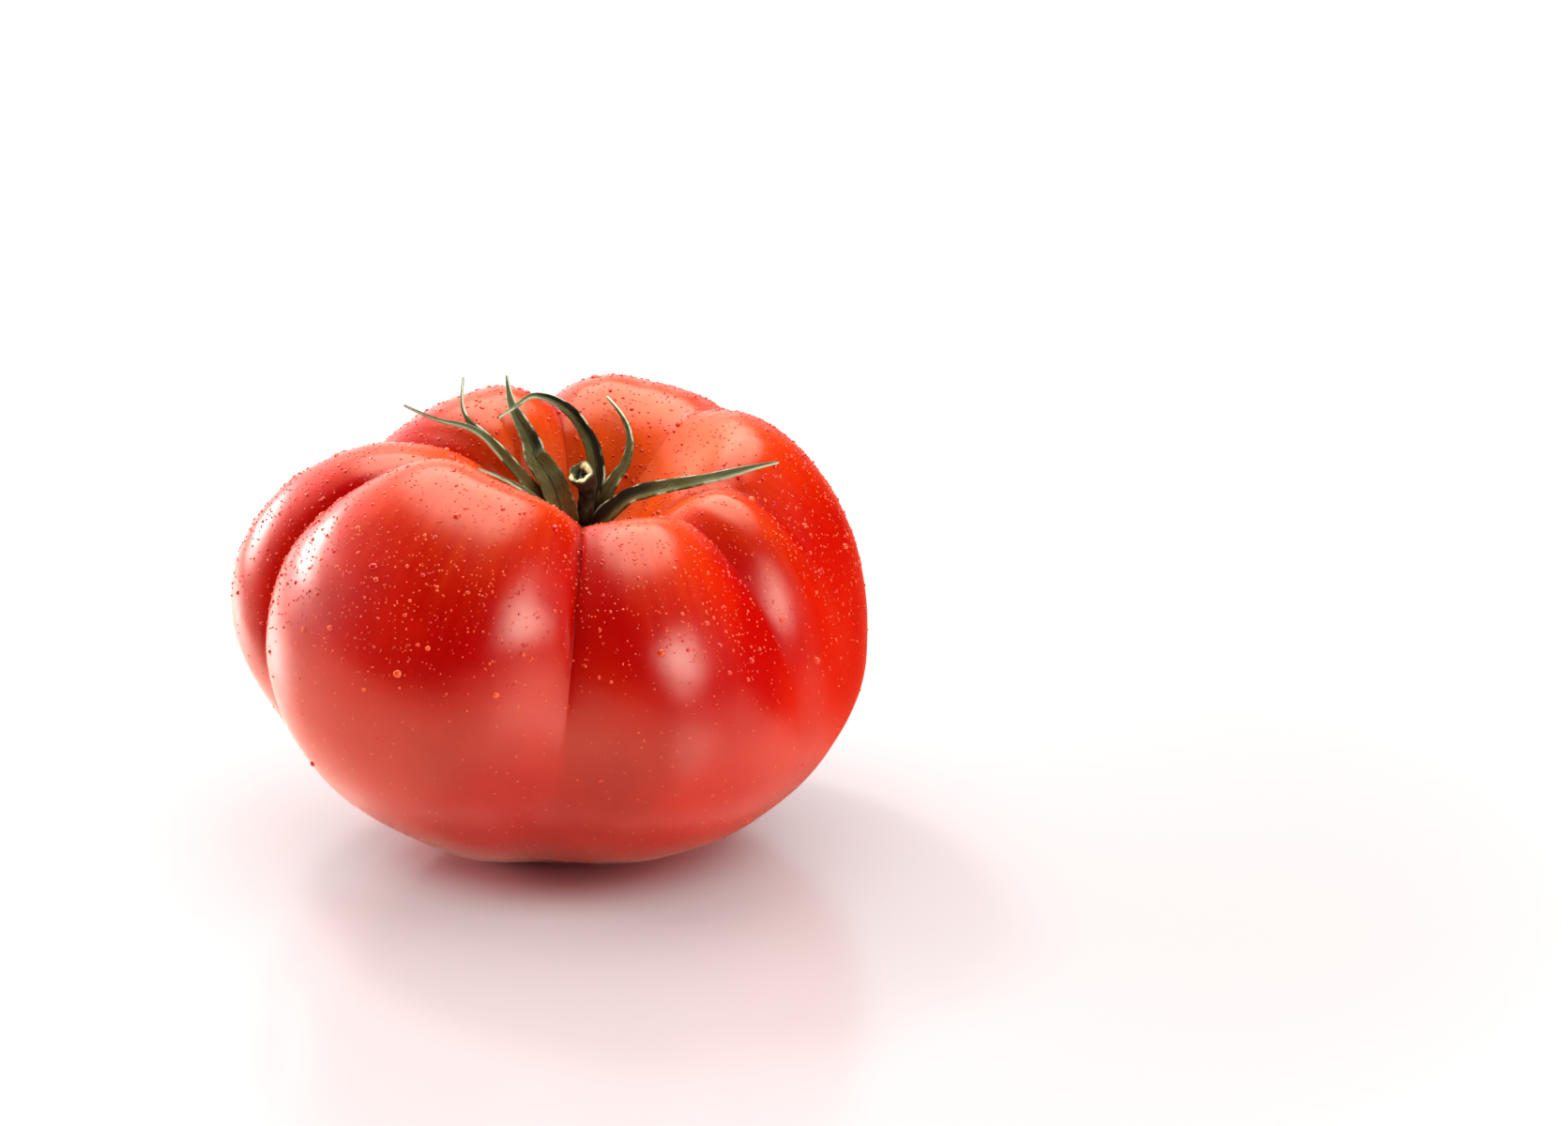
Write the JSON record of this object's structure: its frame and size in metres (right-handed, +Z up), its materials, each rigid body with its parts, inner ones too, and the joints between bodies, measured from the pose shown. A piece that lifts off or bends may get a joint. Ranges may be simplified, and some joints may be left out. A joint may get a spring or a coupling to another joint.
{
  "type": "tomato",
  "caption": "Ripe ribbed beefsteak tomato, as picked: lobed red fruit with a deep stem pit, narrow green sepals and a short stem stub, resting on a small flat spot.",
  "frame": {"origin": "on the flat spot that the fruit rests on, below its centre of mass", "axes": "+Z up from the surface that the fruit rests on; -Y towards the front, where the longest furrow runs down; +X to the right seen from the front"},
  "size_m": [0.095, 0.088, 0.0686],
  "materials": {
    "tomato_skin": "glossy ripe tomato skin, more orange round the stem pit",
    "sepal_green": "dry olive-green leaf with paler edges and brown tips",
    "stem_green": "dull green stem with a pale broken end"
  },
  "bodies": {
    "root": {"fruit": "tomato_skin", "calyx": "sepal_green", "stem": "stem_green"}
  },
  "joints": []
}
